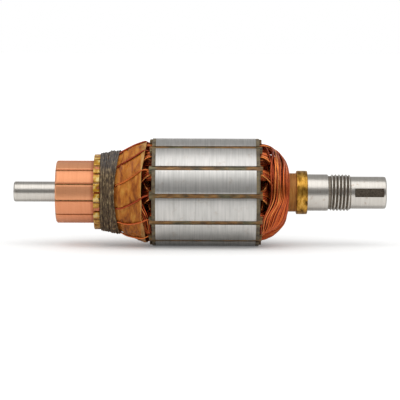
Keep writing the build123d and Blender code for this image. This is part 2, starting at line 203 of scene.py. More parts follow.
thread_zone = add_node(steel, "Math", {0: past_journal, 1: before_key},
    operation="MULTIPLY")
thread_root_shade = add_node(steel, "Math", {0: thread_zone, 1: in_thread},
    operation="MULTIPLY")
# Painted shade on the curved floor of the keyseat.
in_seat = add_node(steel, "MapRange", {
    "Value": radius_node.outputs["Value"],
    "From Min": 7.46 * mm, "From Max": 7.38 * mm, "To Max": 0.96})
after_thread = add_node(steel, "Math", {
    0: parts.outputs["X"], 1: (seat_middle - seat_length / 2 - 0.05) * mm},
    operation="GREATER_THAN")
before_end = add_node(steel, "Math", {
    0: parts.outputs["X"], 1: (seat_middle + seat_length / 2 + 0.05) * mm}, operation="LESS_THAN")
seat_zone = add_node(steel, "Math", {0: after_thread, 1: before_end},
    operation="MULTIPLY")
seat_floor_shade = add_node(steel, "Math", {0: seat_zone, 1: in_seat},
    operation="MULTIPLY")
painted_recess_shade = add_node(steel, "Math", {0: thread_root_shade, 1: seat_floor_shade},
    operation="MAXIMUM")
recess_shade_grain = add_node(steel, "TexNoise", {"Vector": place, "Scale": 1600.0, "Detail": 3.0})
# The colour of the painted shade in the thread grooves and the keyseat.
recess_shade_colour = add_node(steel, "ValToRGB", {0: recess_shade_grain},
    stops=[(0.3, "#685e52"), (0.7, "#9c9182")])
steel_colour = add_node(steel, "Mix", {
    0: painted_recess_shade, 6: stained.outputs[2], 7: recess_shade_colour}, data_type="RGBA")
steel_rough = add_node(steel, "MapRange", {
    "Value": painted_recess_shade, "To Min": 0.29, "To Max": 0.62})
steel_bump = add_node(steel, "Bump", {
    "Strength": 0.06, "Distance": 0.02 * mm, "Height": tool_lines})
feed(steel, shader, {
    "Base Color": steel_colour.outputs[2], "Metallic": 1.0, "Roughness": steel_rough,
    "Normal": steel_bump
})
finish_piece(shaft, steel, "turned_steel", "shaft", angle=28)


# Insulating tube: resin-bonded fibre wound on the shaft under the core. Only a short sleeve of
# it shows, between the winding and the collar.
tube_start, collar_start, tube_radius = -100.6, -9.95, 8.95
tube = turn("insulating_tube_turned", [
    (tube_start, 7.05), (tube_start, tube_radius), (collar_start - 0.05, tube_radius),
    (collar_start - 0.05, 7.05), (tube_start, 7.05),
])
# Bonded fibre is matt brown, with fine darker fibres lying round the tube.
fibre_tube, shader, place = new_material("resin_bonded_fibre_tube")
lay = add_node(fibre_tube, "Mapping", {"Vector": place, "Scale": (1800, 160, 160)})
fibres = add_node(fibre_tube, "TexNoise", {"Vector": lay, "Scale": 1.0, "Detail": 4.0})
tube_colour = add_node(fibre_tube, "ValToRGB", {0: fibres},
    stops=[(0.3, "#955e24"), (0.5, "#bd7c36"), (0.72, "#cf9549")])
tube_bump = add_node(fibre_tube, "Bump", {
    "Strength": 0.4, "Distance": 0.03 * mm, "Height": fibres})
feed(fibre_tube, shader, {
    "Base Color": tube_colour, "Roughness": 0.55, "Specular IOR Level": 0.3, "Normal": tube_bump
})
finish_piece(tube, fibre_tube, "fibre_tube", "insulating_tube")


# Spacer collar: a brass ring turned and chamfered, clamped between the tube and the shoulder
# of the journal. Its bore is a slide fit on the shaft.
collar_end, collar_radius, collar_ease = -4.85, 10.125, 0.4
collar = turn("spacer_collar_turned", [
    (collar_start, 7.05), (collar_start, collar_radius - collar_ease),
    (collar_start + collar_ease * 0.35, collar_radius - collar_ease * 0.3),
    (collar_start + collar_ease, collar_radius), (collar_end - collar_ease, collar_radius),
    (collar_end - collar_ease * 0.35, collar_radius - collar_ease * 0.3),
    (collar_end, collar_radius - collar_ease), (collar_end, 7.05), (collar_start, 7.05),
])
# Old turned brass: a warm yellow metal, clouded brown by tarnish, with dark specks.
brass, shader, place = new_material("tarnished_turned_brass")
turning = add_node(brass, "Mapping", {"Vector": place, "Scale": (620, 300, 300)})
clouds = add_node(brass, "TexNoise", {"Vector": turning, "Scale": 1.0, "Detail": 5.0,
                                               "Roughness": 0.62})
brass_colour = add_node(brass, "ValToRGB", {0: clouds},
    stops=[(0.3, "#5a3f1a"), (0.42, "#9a702a"),
           (0.55, "#cc9840"), (0.75, "#e8bd66")])
specks = add_node(brass, "TexNoise", {"Vector": place, "Scale": 900.0, "Detail": 2.0})
speck_mask = add_node(brass, "MapRange", {
    "Value": specks, "From Min": 0.66, "From Max": 0.72, "To Max": 0.7})
spotted = add_node(brass, "Mix", {
    0: speck_mask, 6: brass_colour, 7: colour("#3a2a18")}, data_type="RGBA")
brass_rough = add_node(brass, "MapRange", {
    "Value": clouds, "From Min": 0.3, "From Max": 0.7, "To Min": 0.5, "To Max": 0.27})
feed(brass, shader, {
    "Base Color": spotted.outputs[2], "Metallic": 1.0, "Roughness": brass_rough
})
finish_piece(collar, brass, "brass", "spacer_collar")


# Lamination core: thin sheets of electrical steel stacked on the tube, then ground to size
# as one. The edges of the slot mouths keep a small burr radius.
def dressed_copy(name, *nodes, ease=0.0, steps=2):
    """One piece made of copies of CAD nodes, their triangles merged and their edges eased."""
    bpy.ops.object.select_all(action="DESELECT")
    for node in nodes:
        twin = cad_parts[node].copy()
        twin.data = twin.data.copy()
        twin.parent = None
        twin.matrix_world = Matrix.Identity(4)
        bpy.context.collection.objects.link(twin)
        twin.select_set(True)
        bpy.context.view_layer.objects.active = twin
    if len(nodes) > 1:
        bpy.ops.object.join()
    piece = bpy.context.object
    piece.name = piece.data.name = name
    bpy.ops.object.mode_set(mode="EDIT")
    bpy.ops.mesh.select_all(action="SELECT")
    bpy.ops.mesh.customdata_custom_splitnormals_clear()
    bpy.ops.mesh.remove_doubles(threshold=0.001 * mm)
    bpy.ops.mesh.dissolve_limited(angle_limit=radians(1))
    bpy.ops.object.mode_set(mode="OBJECT")
    if ease:
        rounding = piece.modifiers.new("eased_edges", "BEVEL")
        rounding.width, rounding.segments, rounding.limit_method = ease * mm, steps, "ANGLE"
        rounding.angle_limit = radians(40)
        bpy.ops.object.modifier_apply(modifier=rounding.name)
    return piece


core = dressed_copy("lamination_core_ground", "lamination_core", ease=0.1)
# Ground sheet edges: a bright steel face ruled by the thin sheets, some a shade darker, with
# short grinding marks along them and a little brown stain.
sheet_steel, shader, place = new_material("ground_electrical_steel")
sheets_at = add_node(sheet_steel, "Mapping", {"Vector": place, "Scale": (2200, 60, 60)})
sheets = add_node(sheet_steel, "TexNoise", {"Vector": sheets_at, "Scale": 1.0, "Detail": 1.0})
groups_at = add_node(sheet_steel, "Mapping", {"Vector": place, "Scale": (700, 130, 130)})
groups = add_node(sheet_steel, "TexNoise", {"Vector": groups_at, "Scale": 1.0, "Detail": 3.0})
both = add_node(sheet_steel, "Mix", {0: 0.45, 2: sheets, 3: groups})
sheet_colour = add_node(sheet_steel, "ValToRGB", {0: both},
    stops=[(0.3, "#bebcb8"), (0.5, "#cccac6"), (0.66, "#d6d3cf")])
blots = add_node(sheet_steel, "TexNoise", {"Vector": place, "Scale": 260.0, "Detail": 5.0,
                                                    "Roughness": 0.65})
blot_mask = add_node(sheet_steel, "MapRange", {
    "Value": blots, "From Min": 0.58, "From Max": 0.8, "To Max": 0.5})
blotted = add_node(sheet_steel, "Mix", {
    0: blot_mask, 6: sheet_colour, 7: colour("#a89684")}, data_type="RGBA")
sheet_rough = add_node(sheet_steel, "MapRange", {
    "Value": sheets, "From Min": 0.3, "From Max": 0.7, "To Min": 0.42, "To Max": 0.37})
sheet_bump = add_node(sheet_steel, "Bump", {
    "Strength": 0.07, "Distance": 0.02 * mm, "Height": sheets})
feed(sheet_steel, shader, {
    "Base Color": blotted.outputs[2], "Metallic": 1.0, "Roughness": sheet_rough,
    "Normal": sheet_bump
})
finish_piece(core, sheet_steel, "electrical_steel", "lamination_core")


# End plates: punched vulcanised fibre, one against each face of the core, to keep the wire
# off the sharp steel. They have the core's own slots.
plates = dressed_copy("end_plates_punched", "end_plate_tail", "end_plate_drive", ease=0.12)
# Varnished fibre sheet: dull olive brown, cloudy, with the slight gloss of old varnish.
fibre_sheet, shader, place = new_material("varnished_vulcanised_fibre")
clouds_at = add_node(fibre_sheet, "TexNoise", {"Vector": place, "Scale": 330.0, "Detail": 5.0,
                                                        "Roughness": 0.6})
fibre_colour = add_node(fibre_sheet, "ValToRGB", {0: clouds_at},
    stops=[(0.3, "#463a2a"), (0.46, "#6f6049"),
           (0.6, "#857656"), (0.75, "#9a7c4a")])
fibre_bump = add_node(fibre_sheet, "Bump", {
    "Strength": 0.5, "Distance": 0.08 * mm, "Height": clouds_at})
feed(fibre_sheet, shader, {
    "Base Color": fibre_colour, "Roughness": 0.52, "Normal": fibre_bump
})
finish_piece(plates, fibre_sheet, "vulcanised_fibre", "end_plate_tail", "end_plate_drive")


# Slot liners: varnished paper folded round the coil sides. At each end of a slot the paper is
# turned back into a cuff, which stands out of the end plate and fills its mouth.
plate_tail, core_tail, core_drive, plate_drive = -76.60, -74.95, -28.95, -27.30
core_middle = (core_tail + core_drive) / 2
slot_angles = [270 + 30 * index for index in range(12)]
liners = dressed_copy("slot_liners_folded", "slot_liners")
finish_piece(liners, fibre_sheet, "liner_paper", "slot_liners")
cuff_length, cuff_width, cuff_depth, cuff_top = 2.3, 3.2, 1.6, 24.1
shapes = random.Random(12)
noise.seed_set(12)
cuffs = []
for end, toward, cuff_out in ((plate_tail, -1, 1.25), (plate_drive, 1, 0.5)):
    for angle in slot_angles:
        bpy.ops.object.select_all(action="DESELECT")
        bpy.ops.mesh.primitive_cube_add(size=1)
        cuff = bpy.context.object
        length = cuff_length + shapes.uniform(-0.2, 0.45)
        cuff.scale = Vector((length, cuff_width + shapes.uniform(-0.35, 0.35), cuff_depth)) * mm
        bpy.ops.object.transform_apply(location=True, rotation=True, scale=True)
        bpy.ops.object.mode_set(mode="EDIT")
        bpy.ops.mesh.select_all(action="SELECT")
        bpy.ops.mesh.subdivide(number_cuts=2)
        bpy.ops.mesh.bevel(offset=0.22 * mm, segments=2)
        bpy.ops.object.mode_set(mode="OBJECT")
        for vertex in cuff.data.vertices:
            crumple = noise.noise_vector(vertex.co / mm * 0.9 + Vector((angle, end, 0)))
            vertex.co += crumple * 0.16 * mm
        at = end + toward * (cuff_out + shapes.uniform(-0.25, 0.3) - length / 2)
        cuff.data.transform(Matrix.Rotation(radians(angle - 90), 4, "X")
                            @ Matrix.Translation(Vector((at, 0, cuff_top - cuff_depth / 2)) * mm)
                            @ Matrix.Rotation(radians(shapes.uniform(-5, 5)), 4, "Z"))
        cuffs.append(cuff)
bpy.ops.object.select_all(action="DESELECT")
for cuff in cuffs:
    cuff.select_set(True)
bpy.context.view_layer.objects.active = cuffs[0]
bpy.ops.object.join()
liner_cuffs = bpy.context.object
liner_cuffs.name = liner_cuffs.data.name = "liner_cuffs"
# Varnish-soaked paper: olive grey and rough, lighter at its folds.
liner_paper, shader, place = new_material("varnish_soaked_liner_paper")
pulp = add_node(liner_paper, "TexNoise", {"Vector": place, "Scale": 620.0, "Detail": 5.0})
pulp_colour = add_node(liner_paper, "ValToRGB", {0: pulp},
    stops=[(0.3, "#4e4433"), (0.5, "#7d6f50"), (0.7, "#a08c62")])
pulp_bump = add_node(liner_paper, "Bump", {
    "Strength": 0.6, "Distance": 0.08 * mm, "Height": pulp})
feed(liner_paper, shader, {
    "Base Color": pulp_colour, "Roughness": 0.7, "Normal": pulp_bump
})
finish_piece(liner_cuffs, liner_paper, "liner_paper")


# Slot wedges: strips of hard fibre driven into the slot mouths from one end, over the coils.
# Each is shaved unevenly and soaked with varnish.
wedge_nodes = [f"slot_wedge_{i:02d}" for i in range(1, 13)]
wedges = dressed_copy("slot_wedges_driven", *wedge_nodes, ease=0.15)
# Hard fibre: brown, streaked along the strip, with olive and dark patches where the varnish
# lies thick.
wedge_fibre, shader, place = new_material("varnished_hard_fibre")
grain_at = add_node(wedge_fibre, "Mapping", {"Vector": place, "Scale": (240, 1300, 1300)})
grain = add_node(wedge_fibre, "TexNoise", {"Vector": grain_at, "Scale": 1.0, "Detail": 4.0})
patch_at = add_node(wedge_fibre, "Mapping", {"Vector": place, "Scale": (110, 60, 60)})
patches = add_node(wedge_fibre, "TexNoise", {"Vector": patch_at, "Scale": 1.0, "Detail": 3.0})
brown = add_node(wedge_fibre, "ValToRGB", {0: grain},
    stops=[(0.3, "#4d3a22"), (0.5, "#8a6232"), (0.7, "#b0824a")])
olive = add_node(wedge_fibre, "ValToRGB", {0: grain},
    stops=[(0.3, "#3a3627"), (0.5, "#6d6446"), (0.7, "#8d815b")])
patch_mask = add_node(wedge_fibre, "MapRange", {
    "Value": patches, "From Min": 0.47, "From Max": 0.6})
wedge_colour = add_node(wedge_fibre, "Mix", {
    0: patch_mask, 6: brown, 7: olive}, data_type="RGBA")
wedge_bump = add_node(wedge_fibre, "Bump", {
    "Strength": 0.6, "Distance": 0.1 * mm, "Height": grain})
feed(wedge_fibre, shader, {
    "Base Color": wedge_colour.outputs[2], "Roughness": 0.5, "Normal": wedge_bump
})
finish_piece(wedges, wedge_fibre, "fibre_wedge", *wedge_nodes)


# Coils: each is a closed bundle of enamelled wire wound by hand through two slots. The wires
# leave the slot side by side, bulge out, pass the tube and dive into the slot five further on.
wire_diameter, crown_radius = 0.85, 7.5
top_side, bottom_side = 20.4, 16.2
layer_crowns = [1.6 + 2.3 * layer for layer in range(5)]
layer_columns = (5, 5, 5, 5, 7)
layer_pass = (11.0, 11.0, 11.0, 11.0, 12.45)
layer_fullness = ((3.4, 3.4), (1.9, 3.4), (1.9, 3.4), (2.0, 3.4), (2.0, 3.2))


def half_head(seat, nearest, crown, fullness, steps=9):
    """Stations (radius, turn, height, lean) of a bundle from its slot to its pass by the tube."""
    reach = sqrt(seat**2 - nearest**2)
    stations = []
    for step in range(steps + 1):
        along = reach * cos(pi / 2 * step / steps)
        radius = hypot(along, nearest)
        turn_angle = atan(reach / nearest) - atan(along / nearest)
        share = min(1, (radius - crown_radius) / (seat - crown_radius))
        height = crown * (1 - share**fullness) ** (1 / fullness)
        lean = atan((height / crown) ** (fullness - 1) * (seat - crown_radius)
                    / (crown * share ** (fullness - 1)))
        stations.append((radius, turn_angle, height, lean))
    return stations


def loop_stations(start_slot, layer):
    """Centre, side direction, normal and freedom of a whole coil, once round through both slots."""
    first = bottom_side if layer == 0 else top_side
    second, nearest = bottom_side, layer_pass[layer]
    start = radians(270 + 30 * start_slot)
    span = radians(150)
    rise = half_head(first, nearest, layer_crowns[layer], layer_fullness[layer][0])
    fall = half_head(second, nearest, layer_crowns[layer], layer_fullness[layer][1])
    head = [(first, start, -9.0, 0, 0), (first, start, -2.6, 0, 0)]
    head += [(r, start + t, h, lean, min(1, i / 3)) for i, (r, t, h, lean) in enumerate(rise)]
    gap = span - rise[-1][1] - fall[-1][1]
    for share in (0.33, 0.67):
        head.append((nearest, start + rise[-1][1] + gap * share,
                     *[a * (1 - share) + b * share for a, b in zip(rise[-1][2:], fall[-1][2:])], 1))
    head += [(r, start + span - t, h, lean, min(1, i / 3))
             for i, (r, t, h, lean) in reversed(list(enumerate(fall)))]
    head += [(second, start + span, -2.6, 0, 0), (second, start + span, -9.0, 0, 0)]
    spots = []
    for end, toward, stations in ((plate_drive, 1, head), (plate_tail, -1, head[::-1])):
        for radius, angle, height, lean, free in stations:
            out = Vector((0, cos(angle), sin(angle)))
            centre = out * radius + Vector((end + toward * height, 0, 0))
            normal = Vector((toward * sin(lean), 0, 0)) + out * cos(lean)
            spots.append((centre, normal, free))
    placed = []
    for index, (centre, normal, free) in enumerate(spots):
        along = spots[(index + 1) % len(spots)][0] - spots[index - 1][0]
        placed.append((centre, along.cross(normal).normalized(), normal.normalized(), free))
    return placed


def wires_of(name, paths, thickness, cyclic, sides=1):
    """Draws round wires along paths of points in mm and makes them one mesh."""
    line = bpy.data.curves.new(name, "CURVE")
    line.dimensions = "3D"
    line.bevel_depth, line.bevel_resolution, line.resolution_u = thickness / 2 * mm, sides, 2
    line.use_fill_caps = not cyclic
    for path in paths:
        wire = line.splines.new("NURBS")
        wire.points.add(len(path) - 1)
        for point, spot in zip(wire.points, path):
            point.co = (*(Vector(spot) * mm), 1)
        wire.order_u, wire.use_cyclic_u, wire.use_endpoint_u = 4, cyclic, not cyclic
    piece = bpy.data.objects.new(name, line)
    bpy.context.collection.objects.link(piece)
    only(piece)
    bpy.ops.object.convert(target="MESH")
    piece = bpy.context.object
    bpy.ops.object.mode_set(mode="EDIT")
    bpy.ops.mesh.select_all(action="SELECT")
    bpy.ops.mesh.normals_make_consistent(inside=False)
    bpy.ops.object.mode_set(mode="OBJECT")
    return piece


# Enamelled copper wire: reddish and glossy, each wire its own tint, with painted shade where
# it runs deep in the bundle and in the gaps between the wires.
enamel, shader, place = new_material("enamelled_copper_wire")
geometry = add_node(enamel, "NewGeometry", {})
shade = add_node(enamel, "ValToRGB", {0: geometry.outputs["Random Per Island"]},
    stops=[(0.0, "#93330f"), (0.2, "#b8481a"), (0.5, "#d96428"), (0.75, "#ee8438"),
           (1.0, "#f8a256")])
burn = add_node(enamel, "TexNoise", {"Vector": place, "Scale": 240.0, "Detail": 3.0})
burn_mask = add_node(enamel, "MapRange", {
    "Value": burn, "From Min": 0.5, "From Max": 0.75, "To Max": 0.55})
burnt = add_node(enamel, "Mix", {
    0: burn_mask, 6: shade, 7: colour("#7c2f14")}, data_type="RGBA")
# Painted shade: occlusion colours the wires dark deep in the bundle and between them.
wire_occlusion = add_node(enamel, "AmbientOcclusion", {"Distance": 1.6 * mm}, samples=6)
painted_wire_shade = add_node(enamel, "MapRange", {
    "Value": wire_occlusion.outputs["AO"], "From Min": 0.62, "From Max": 0.18, "To Max": 0.92})
wire_colour = add_node(enamel, "Mix", {
    0: painted_wire_shade, 6: burnt.outputs[2], 7: colour("#3d140b")}, data_type="RGBA")
feed(enamel, shader, {
    "Base Color": wire_colour.outputs[2], "Metallic": 0.8, "Roughness": 0.27,
    "Coat Weight": 0.25, "Coat Roughness": 0.15
})

lay_of_wires = random.Random(7)


def waver(lay, low, high, fewest=1, most=5):
    """Waves that a wire makes once round its loop, as (size, number, phase)."""
    return [(lay.uniform(low, high), lay.randint(fewest, most), lay.uniform(0, 2 * pi))
            for _ in range(3)]


def swing(waves, turned):
    """How far the waves carry the wire aside at one place of its turn."""
    return sum(size * sin(number * turned + phase) for size, number, phase in waves)


for arm in (0, 1):
    for layer in range(5):
        spots = loop_stations(arm * 6 - 1 - layer, layer)
        paths = []
        for wire in range(2 * layer_columns[layer]):
            column, row = divmod(wire, 2)
            side = (column - (layer_columns[layer] - 1) / 2 + 0.5 * row - 0.25) * 0.92
            depth = (row - 0.5) * 0.82
            sways, lifts = waver(lay_of_wires, 0.05, 0.2), waver(lay_of_wires, 0.03, 0.12)
            path = []
            for index, (centre, across, normal, free) in enumerate(spots):
                turn_share = 2 * pi * index / len(spots)
                sway, lift = swing(sways, turn_share), swing(lifts, turn_share)
                path.append(centre + across * (side * (0.6 + 0.4 * free) + sway * free)
                            + normal * (depth + lift * free))
            paths.append(path)
        number = arm * 6 + layer + 1
        coil = wires_of(f"coil_wires_{number:02d}", paths, wire_diameter, True, 2)
        finish_piece(coil, enamel, "enamelled_wire", f"coil_{number:02d}", angle=60)

# The last coil on each side lies open to view. Its wires spread over one dome, in two rows, and
# each passes the tube at its own distance.
fan_wires, fan_steps, fan_diameter = 23, 24, 0.74
for arm in (0, 1):
    start = radians(270 + 30 * (arm * 6 - 6))
    paths = []
    for row in (0, 1):
        for wire in range(fan_wires - row):
            share = (wire + 0.5 * row) / (fan_wires - 1)
            seat = 19.4 + 2.9 * share - 0.8 * row
            middle = 8.9 + 12.4 * share - 0.6 * row + lay_of_wires.uniform(-0.25, 0.25)
            tilt = lay_of_wires.uniform(-0.055, 0.055)
            crown, dome_power = 13.55 - 0.8 * row + 5 * tilt, 2.2 + 0.5 * (1 - share)
            aside = ((wire * 5 + row * 2) % 4 - 1.5) * 0.045
            sways, lifts = waver(lay_of_wires, 0.03, 0.25), waver(lay_of_wires, 0.02, 0.12)
            path = []
            for end, toward in ((plate_drive, 1), (plate_tail, -1)):
                head = [(seat, 0.0, -9.0), (seat, 0.0, -2.0)]
                for step in range(fan_steps + 1):
                    turned = radians(75) * (1 - cos(pi * step / fan_steps))
                    nearest = min(seat - 0.1, middle * (1 + tilt * (turned / radians(75) - 1)))
                    to_pass = max(0, acos(nearest / seat) - min(turned, radians(150) - turned))
                    radius = nearest / cos(to_pass)
                    free = sin(pi * step / fan_steps)
                    phase = 2 * pi * (step / fan_steps + (0.5 if toward < 0 else 0)) / 2
                    radius += free * swing(sways, phase)
                    part = min(1, max(0, (radius - crown_radius) / (seat - crown_radius)))
                    height = crown * (1 - part**dome_power) ** (1 / dome_power)
                    height += free * swing(lifts, phase) * min(1, height / 3)
                    dive = min(1, max(0, (turned - radians(92)) / radians(36)))
                    height *= 1 - 0.72 * share**2 * dive**2 * (3 - 2 * dive)
                    head.append((radius, turned, height))
                head += [(seat, radians(150), -2.0), (seat, radians(150), -9.0)]
                for radius, turned, height in (head if toward > 0 else head[::-1]):
                    at = start + turned + aside * (1 - min(1, max(0, height) / 6))
                    path.append(Vector((end + toward * height, radius * cos(at), radius * sin(at))))
            paths.append(path)
    number = arm * 6 + 6
    coil = wires_of(f"coil_wires_{number:02d}", paths, fan_diameter, True, 2)
    finish_piece(coil, enamel, "enamelled_wire", f"coil_{number:02d}", angle=60)


# Commutator: copper bars on a moulded hub with mica plates between them. The bars are turned
# true after assembly, and the leads are soldered into their risers under yellow varnish.
hub = dressed_copy("commutator_hub_moulded", "commutator_hub", ease=0.15)
# Phenolic moulding: dark brown, smooth and a little glossy, filled with wood flour.
phenolic, shader, place = new_material("moulded_phenolic")
flour = add_node(phenolic, "TexNoise", {"Vector": place, "Scale": 900.0, "Detail": 4.0})
phenolic_colour = add_node(phenolic, "ValToRGB", {0: flour},
    stops=[(0.35, "#24160f"), (0.65, "#4a2f20")])
feed(phenolic, shader, {"Base Color": phenolic_colour, "Roughness": 0.4})
finish_piece(hub, phenolic, "phenolic", "commutator_hub")

mica = dressed_copy("commutator_mica_plates", "commutator_mica")
# Bonded mica: thin brown-gold flakes pressed into a plate.
mica_plate, shader, place = new_material("bonded_mica_plate")
flakes = add_node(mica_plate, "TexNoise", {"Vector": place, "Scale": 1100.0, "Detail": 3.0})
mica_colour = add_node(mica_plate, "ValToRGB", {0: flakes},
    stops=[(0.3, "#7b5529"), (0.55, "#b0824a"), (0.8, "#d0a468")])
feed(mica_plate, shader, {"Base Color": mica_colour, "Roughness": 0.55})
finish_piece(mica, mica_plate, "mica", "commutator_mica")

bar_nodes = [f"commutator_bar_{i:02d}" for i in range(1, 13)]
bars = dressed_copy("commutator_bars_turned", *bar_nodes, ease=0.16)
# Turned copper, polished by its brushes: each bar has its own tint, fine lines run round it,
# and the risers carry glossy mustard varnish with painted pale glints in it and copper showing at
# their corners.
riser_start = -103.7
copper, shader, place = new_material("brush_polished_copper")
geometry = add_node(copper, "NewGeometry", {})
parts = add_node(copper, "SeparateXYZ", {0: place})
tint = add_node(copper, "ValToRGB", {0: geometry.outputs["Random Per Island"]},
    stops=[(0.0, "#fbae82"), (0.35, "#f4a070"), (0.7, "#f4a272"), (1.0, "#fcbc8c")])
ring_lines = add_node(copper, "Mapping", {"Vector": place, "Scale": (2400, 60, 60)})
worn = add_node(copper, "TexNoise", {"Vector": ring_lines, "Scale": 1.0, "Detail": 3.0})
worn_mask = add_node(copper, "MapRange", {
    "Value": worn, "From Min": 0.4, "From Max": 0.8, "To Max": 0.3})
track = add_node(copper, "Mix", {
    0: worn_mask, 6: tint, 7: colour("#d4743f")}, data_type="RGBA")
heel = add_node(copper, "MapRange", {
    "Value": parts.outputs["X"], "From Min": (riser_start - 1.6) * mm,
    "From Max": (riser_start - 0.3) * mm, "To Max": 0.6})
heeled = add_node(copper, "Mix", {
    0: heel, 6: track.outputs[2], 7: colour("#a3452b")}, data_type="RGBA")
in_riser = add_node(copper, "MapRange", {
    "Value": parts.outputs["X"], "From Min": (riser_start - 0.05) * mm,
    "From Max": (riser_start + 0.3) * mm})
pools = add_node(copper, "TexNoise", {"Vector": place, "Scale": 330.0, "Detail": 3.0})
pool_mask = add_node(copper, "MapRange", {
    "Value": pools, "From Min": 0.38, "From Max": 0.44})
varnished = add_node(copper, "Math", {0: in_riser, 1: pool_mask},
    operation="MULTIPLY")
# Varnish from dark brown to pale yellow; its palest patches are painted glints.
varnish_and_glint_colour = add_node(copper, "ValToRGB", {0: pools},
    stops=[(0.34, "#6e430c"), (0.44, "#b47a14"),
           (0.54, "#dca42c"), (0.66, "#f8dc8c")])
bar_colour = add_node(copper, "Mix", {
    0: varnished, 6: heeled.outputs[2], 7: varnish_and_glint_colour}, data_type="RGBA")
bar_metal = add_node(copper, "MapRange", {"Value": varnished, "To Min": 0.55, "To Max": 0.15})
bar_rough = add_node(copper, "MapRange", {"Value": varnished, "To Min": 0.36, "To Max": 0.12})
bar_height = add_node(copper, "Mix", {0: in_riser, 2: worn, 3: pools})
bar_bump = add_node(copper, "Bump", {
    "Strength": 0.35, "Distance": 0.06 * mm, "Height": bar_height})
feed(copper, shader, {
    "Base Color": bar_colour.outputs[2], "Metallic": bar_metal, "Roughness": bar_rough,
    "Normal": bar_bump
})
finish_piece(bars, copper, "copper", *bar_nodes)


# Cone wrap: crepe paper wound over the winding head and soaked in brown varnish. It wrinkles
# round the cone, and its wide edge is folded back on itself into a pale hem.
cone_wide, cone_narrow, neck_start, neck_end = -80.0, -89.6, -91.25, -100.60
hem_width, wrap_thickness = 1.9, 0.4
wide_radius, narrow_radius = 23.6, 19.7
cone_slope = (wide_radius - narrow_radius) / (cone_wide - cone_narrow)
outer_line = [(cone_wide, wide_radius)]
outer_line += [(cone_wide - 0.32 * step, wide_radius - 0.32 * step * cone_slope)
               for step in range(1, 30)]
outer_line += [
    (cone_narrow, narrow_radius), (cone_narrow - 0.5, 19.2), (neck_start, 17.25), (neck_end, 15.85),
]
inner_line = [(x, radius - wrap_thickness) for x, radius in outer_line[::-2]]
inner_line.append((cone_wide, wide_radius - wrap_thickness))
wrap = turn("cone_wrap_crepe", outer_line + inner_line + [outer_line[0]], sides=192)
for vertex in wrap.data.vertices:
    x, y, z = vertex.co / mm
    radius = hypot(y, z)
    around = atan(z / y) + (pi if y < 0 else 0) if abs(y) > 1e-6 else (pi / 2 if z > 0 else -pi / 2)
    near, out = max(0, -y / radius), Vector((0, y, z)) / radius
    rest = min(1, max(0, (x - neck_start) / 2))
    slant = around + x * 0.075
    fold = abs(noise.noise(Vector((x * 0.26, 4.2 * cos(slant), 4.2 * sin(slant))))) * 1.3 - 0.3
    ridge = noise.noise(Vector((x * 0.22 + 7, 3.1 * cos(slant), 3.1 * sin(slant))))
    crease = -0.4 * max(0, 1 - 9 * abs(ridge))
    fine = noise.noise(Vector((x * 2.3, 9 * cos(around), 9 * sin(around)))) * 0.14
    edge = noise.noise(Vector((5.1, 3.3 * cos(around), 3.3 * sin(around)))) * 0.7
    push = 0.95 - 2.5 * near**2 if x > cone_wide - 3 else 0
    pull = -3.1 * near**2 * min(1, max(0, (cone_wide - 3 - x) / 6))
    stay = min(1, max(0, (cone_wide + 0.01 - x) / 2.5))
    ragged = 0.6 if x > cone_wide - 3 else 0.15
    vertex.co += (out * ((fold + crease) * (0.35 + 0.65 * stay) + fine) * rest
                  + Vector((edge * ragged + push + pull, 0, 0)) * rest) * mm
# Varnished crepe paper: warm brown with streaks running round it, painted shade along its
# creases, and straw-coloured on the worn hem.
crepe, shader, place = new_material("varnished_crepe_paper")
parts = add_node(crepe, "SeparateXYZ", {0: place})
streak_at = add_node(crepe, "Mapping", {
    "Vector": place, "Rotation": (0, radians(-32), 0), "Scale": (560, 110, 150)})
streaks = add_node(crepe, "TexNoise", {"Vector": streak_at, "Scale": 1.0, "Detail": 5.0,
                                                "Roughness": 0.6, "Distortion": 0.4})
crepe_colour = add_node(crepe, "ValToRGB", {0: streaks},
    stops=[(0.28, "#6a300a"), (0.4, "#ac5c16"),
           (0.52, "#d07c26"), (0.7, "#e8a446")])
crease_at = add_node(crepe, "Mapping", {
    "Vector": place, "Rotation": (0, radians(-32), 0), "Scale": (170, 40, 55)})
creases = add_node(crepe, "TexNoise", {"Vector": crease_at, "Scale": 1.0, "Detail": 3.0},
                   noise_type="RIDGED_MULTIFRACTAL")
# Painted shade: the crepe is coloured dark along its crease lines.
painted_crease_shade = add_node(crepe, "MapRange", {
    "Value": creases, "From Min": 1.0, "From Max": 1.6, "To Max": 0.6})
crepe_with_crease_shade = add_node(crepe, "Mix", {
    0: painted_crease_shade, 6: crepe_colour, 7: colour("#6a3a16")}, data_type="RGBA")
hem_mask = add_node(crepe, "MapRange", {
    "Value": parts.outputs["X"], "From Min": (cone_wide - hem_width) * mm,
    "From Max": (cone_wide - 1.3) * mm, "To Max": 0.8})
hem_colour = add_node(crepe, "ValToRGB", {0: streaks},
    stops=[(0.3, "#b07a36"), (0.5, "#d6a35c"), (0.7, "#e8c083")])
wrap_colour = add_node(crepe, "Mix", {
    0: hem_mask, 6: crepe_with_crease_shade.outputs[2], 7: hem_colour}, data_type="RGBA")
crepe_bump = add_node(crepe, "Bump", {
    "Strength": 0.9, "Distance": 0.26 * mm, "Height": streaks})
feed(crepe, shader, {
    "Base Color": wrap_colour.outputs[2], "Roughness": 0.48, "Specular IOR Level": 0.35,
    "Normal": crepe_bump
})
finish_piece(wrap, crepe, "varnished_paper", "cone_wrap", angle=60)


